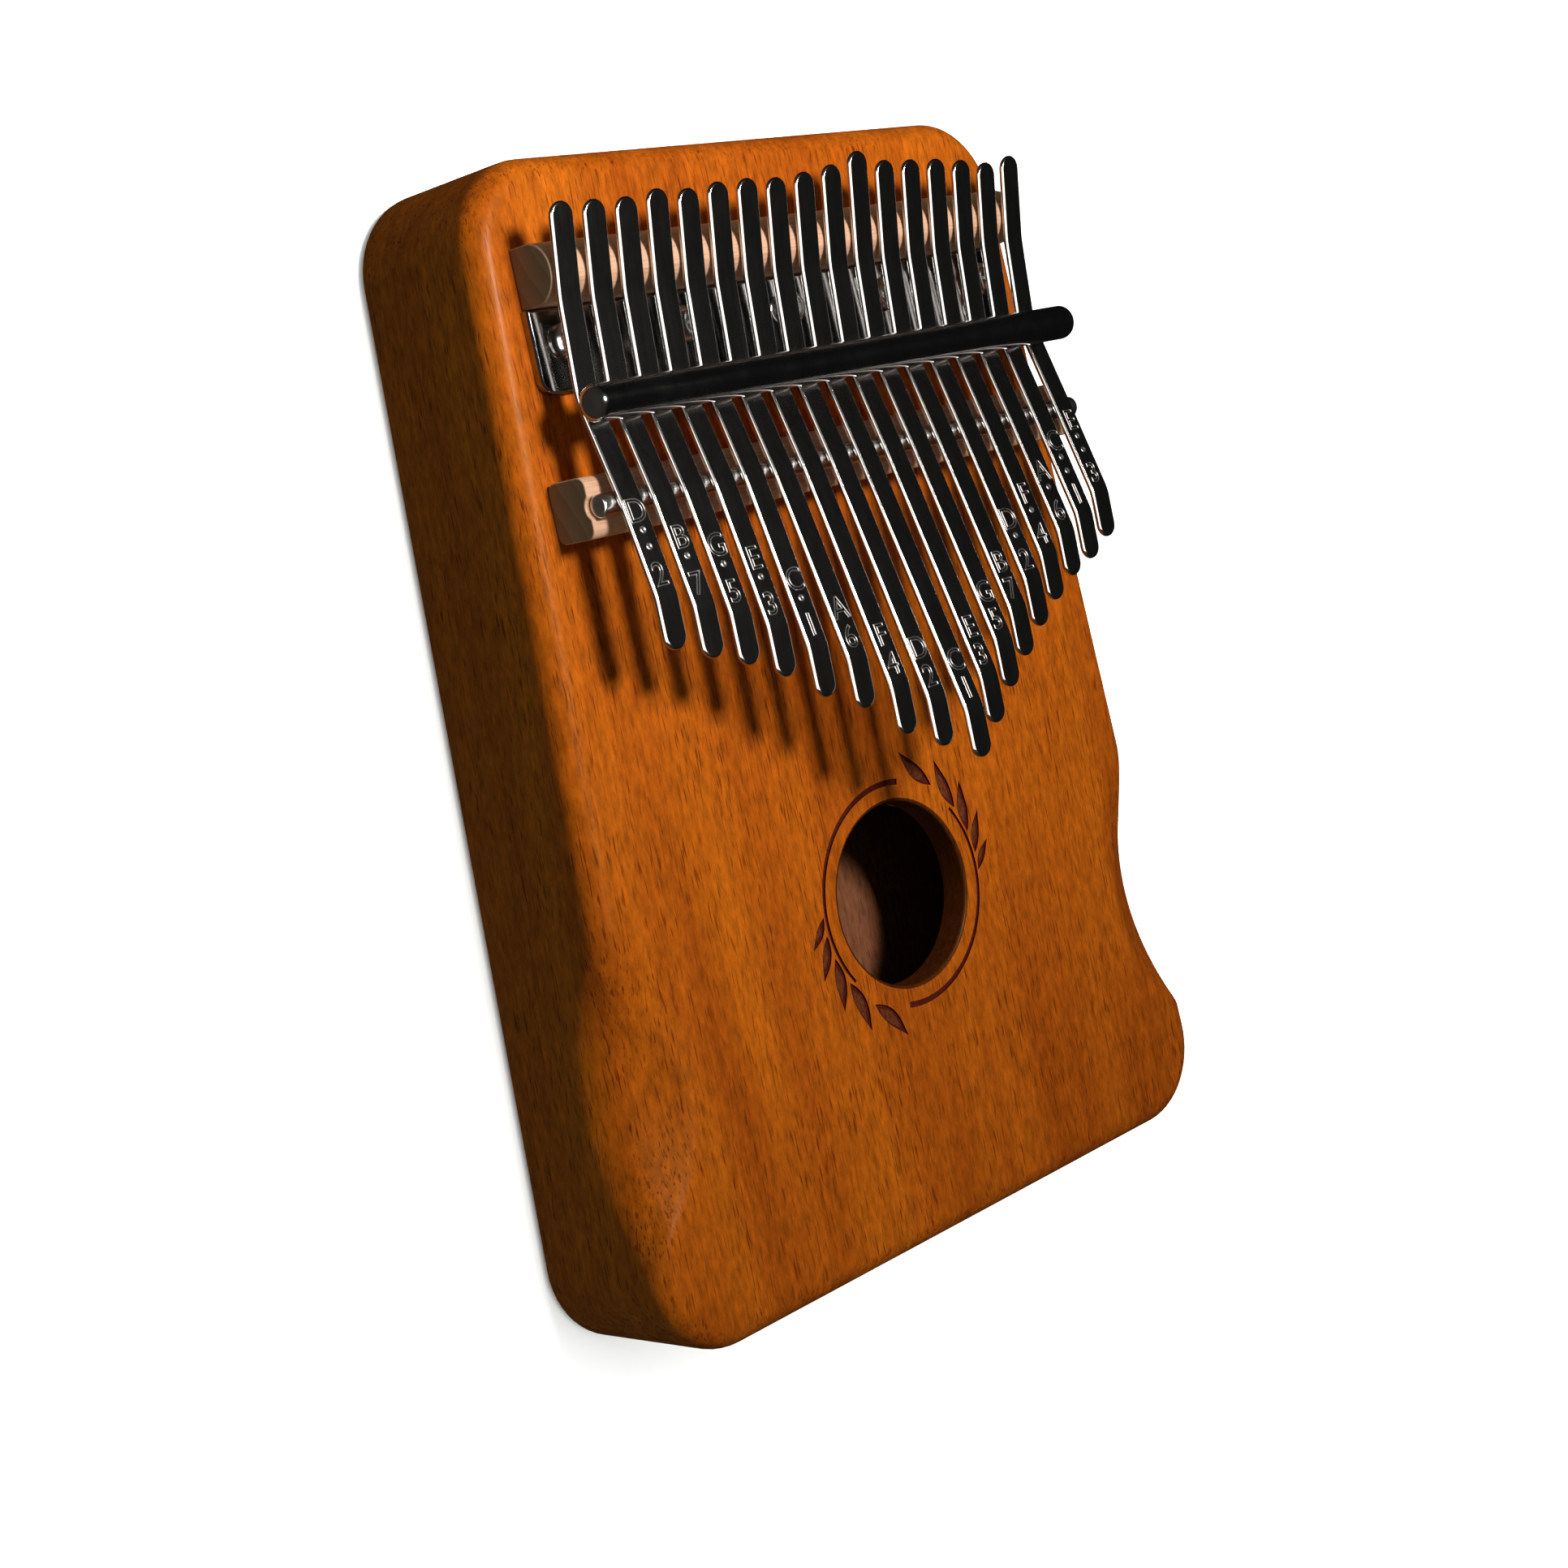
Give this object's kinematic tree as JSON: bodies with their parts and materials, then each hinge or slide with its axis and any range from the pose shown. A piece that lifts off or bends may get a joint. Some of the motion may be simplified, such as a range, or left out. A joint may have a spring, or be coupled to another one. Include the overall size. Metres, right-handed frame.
{
  "type": "thumb piano",
  "caption": "Hollow wooden thumb piano with a round sound hole, thumb scallops and a row of steel tines clamped under a pressure bar.",
  "frame": {"origin": "middle of the back, on the plane that the instrument lies on", "axes": "+Z out of the soundboard, +Y towards the head where the tines are clamped, +X to the player's right"},
  "size_m": [0.1364, 0.185, 0.0532],
  "materials": {
    "body_wood": "satin lacquer over orange-brown mahogany",
    "back_wood": "satin lacquer over orange-brown mahogany",
    "bridge_wood": "bare pale beech",
    "tine_steel": "polished plated spring steel",
    "rod_steel": "bright ground rod",
    "bracket_chrome": "mirror plating",
    "screw_steel": "polished plating",
    "bar_chrome": "mirror plating",
    "stud_steel": "plain steel"
  },
  "bodies": {
    "root": {"body_shell": "body_wood", "back_plate": "back_wood", "rear_bar": "bridge_wood", "front_bridge": "bridge_wood", "bridge_rod": "rod_steel", "bracket": "bracket_chrome", "bracket_screws": "screw_steel", "pressure_bar": "bar_chrome", "pressure_studs": "stud_steel"},
    "tine_01": {"tine_01": "tine_steel"},
    "tine_02": {"tine_02": "tine_steel"},
    "tine_03": {"tine_03": "tine_steel"},
    "tine_04": {"tine_04": "tine_steel"},
    "tine_05": {"tine_05": "tine_steel"},
    "tine_06": {"tine_06": "tine_steel"},
    "tine_07": {"tine_07": "tine_steel"},
    "tine_08": {"tine_08": "tine_steel"},
    "tine_09": {"tine_09": "tine_steel"},
    "tine_10": {"tine_10": "tine_steel"},
    "tine_11": {"tine_11": "tine_steel"},
    "tine_12": {"tine_12": "tine_steel"},
    "tine_13": {"tine_13": "tine_steel"},
    "tine_14": {"tine_14": "tine_steel"},
    "tine_15": {"tine_15": "tine_steel"},
    "tine_16": {"tine_16": "tine_steel"},
    "tine_17": {"tine_17": "tine_steel"}
  },
  "joints": [
    {"name": "tine_01_flex", "type": "hinge", "parent": "root", "child": "tine_01", "pos_m": [-0.05152, 0.0391, 0.03845], "axis": [1, 0, 0], "range_deg": [0, 1], "stiffness_Nm_per_rad": 0.3},
    {"name": "tine_02_flex", "type": "hinge", "parent": "root", "child": "tine_02", "pos_m": [-0.04508, 0.0391, 0.03845], "axis": [1, 0, 0], "range_deg": [0, 1], "stiffness_Nm_per_rad": 0.3},
    {"name": "tine_03_flex", "type": "hinge", "parent": "root", "child": "tine_03", "pos_m": [-0.03864, 0.0391, 0.03845], "axis": [1, 0, 0], "range_deg": [0, 1], "stiffness_Nm_per_rad": 0.3},
    {"name": "tine_04_flex", "type": "hinge", "parent": "root", "child": "tine_04", "pos_m": [-0.0322, 0.0391, 0.03845], "axis": [1, 0, 0], "range_deg": [0, 1], "stiffness_Nm_per_rad": 0.3},
    {"name": "tine_05_flex", "type": "hinge", "parent": "root", "child": "tine_05", "pos_m": [-0.02576, 0.0391, 0.03845], "axis": [1, 0, 0], "range_deg": [0, 1], "stiffness_Nm_per_rad": 0.3},
    {"name": "tine_06_flex", "type": "hinge", "parent": "root", "child": "tine_06", "pos_m": [-0.01932, 0.0391, 0.03845], "axis": [1, 0, 0], "range_deg": [0, 1], "stiffness_Nm_per_rad": 0.3},
    {"name": "tine_07_flex", "type": "hinge", "parent": "root", "child": "tine_07", "pos_m": [-0.01288, 0.0391, 0.03845], "axis": [1, 0, 0], "range_deg": [0, 1], "stiffness_Nm_per_rad": 0.3},
    {"name": "tine_08_flex", "type": "hinge", "parent": "root", "child": "tine_08", "pos_m": [-0.00644, 0.0391, 0.03845], "axis": [1, 0, 0], "range_deg": [0, 1], "stiffness_Nm_per_rad": 0.3},
    {"name": "tine_09_flex", "type": "hinge", "parent": "root", "child": "tine_09", "pos_m": [0, 0.0391, 0.03845], "axis": [1, 0, 0], "range_deg": [0, 1], "stiffness_Nm_per_rad": 0.3},
    {"name": "tine_10_flex", "type": "hinge", "parent": "root", "child": "tine_10", "pos_m": [0.00644, 0.0391, 0.03845], "axis": [1, 0, 0], "range_deg": [0, 1], "stiffness_Nm_per_rad": 0.3},
    {"name": "tine_11_flex", "type": "hinge", "parent": "root", "child": "tine_11", "pos_m": [0.01288, 0.0391, 0.03845], "axis": [1, 0, 0], "range_deg": [0, 1], "stiffness_Nm_per_rad": 0.3},
    {"name": "tine_12_flex", "type": "hinge", "parent": "root", "child": "tine_12", "pos_m": [0.01932, 0.0391, 0.03845], "axis": [1, 0, 0], "range_deg": [0, 1], "stiffness_Nm_per_rad": 0.3},
    {"name": "tine_13_flex", "type": "hinge", "parent": "root", "child": "tine_13", "pos_m": [0.02576, 0.0391, 0.03845], "axis": [1, 0, 0], "range_deg": [0, 1], "stiffness_Nm_per_rad": 0.3},
    {"name": "tine_14_flex", "type": "hinge", "parent": "root", "child": "tine_14", "pos_m": [0.0322, 0.0391, 0.03845], "axis": [1, 0, 0], "range_deg": [0, 1], "stiffness_Nm_per_rad": 0.3},
    {"name": "tine_15_flex", "type": "hinge", "parent": "root", "child": "tine_15", "pos_m": [0.03864, 0.0391, 0.03845], "axis": [1, 0, 0], "range_deg": [0, 1], "stiffness_Nm_per_rad": 0.3},
    {"name": "tine_16_flex", "type": "hinge", "parent": "root", "child": "tine_16", "pos_m": [0.04508, 0.0391, 0.03845], "axis": [1, 0, 0], "range_deg": [0, 1], "stiffness_Nm_per_rad": 0.3},
    {"name": "tine_17_flex", "type": "hinge", "parent": "root", "child": "tine_17", "pos_m": [0.05152, 0.0391, 0.03845], "axis": [1, 0, 0], "range_deg": [0, 1], "stiffness_Nm_per_rad": 0.3}
  ]
}
